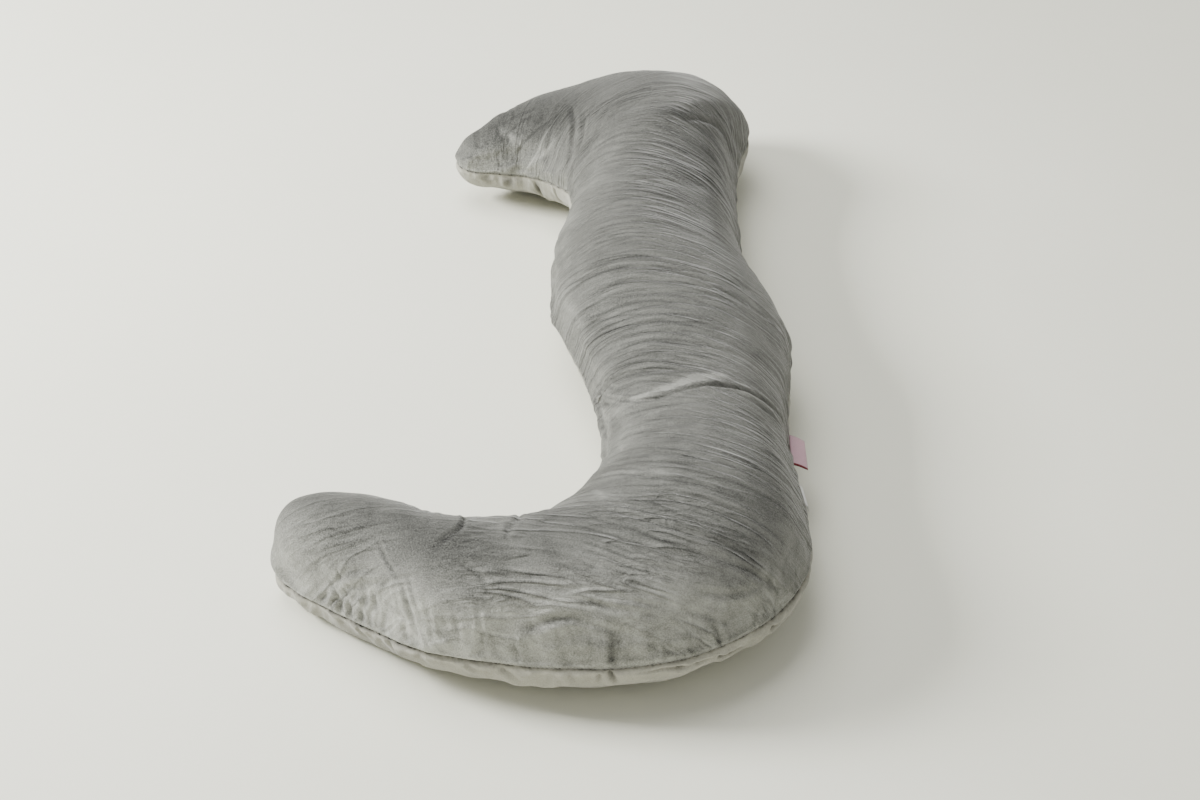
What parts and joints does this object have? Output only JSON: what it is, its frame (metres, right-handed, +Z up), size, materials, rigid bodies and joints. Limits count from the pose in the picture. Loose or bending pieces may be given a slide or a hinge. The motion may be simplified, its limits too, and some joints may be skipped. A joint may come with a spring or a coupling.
{
  "type": "body pillow",
  "caption": "Long C-shaped body pillow, a filled cushion of two sewn cloth panels with two bare labels in its seam.",
  "frame": {"origin": "on the floor under the middle of the pillow's outline, its labels included", "axes": "+Y along the pillow's length towards the hook with the pointed tip, +X from the open bay towards the long outer seam, +Z up through the crown"},
  "size_m": [0.6964, 1.3652, 0.2109],
  "materials": {
    "upper_velvet": "short-pile mid-grey velvet, matt with a soft sheen where the pile turns",
    "lower_panel": "pale cream plush of the underside, below the seam",
    "side_label": "pale pink woven tape",
    "care_label": "off-white printed-tape cloth, bare"
  },
  "bodies": {
    "root": {"pillow_body": "upper_velvet", "side_label": "side_label", "care_label": "care_label"}
  },
  "joints": []
}
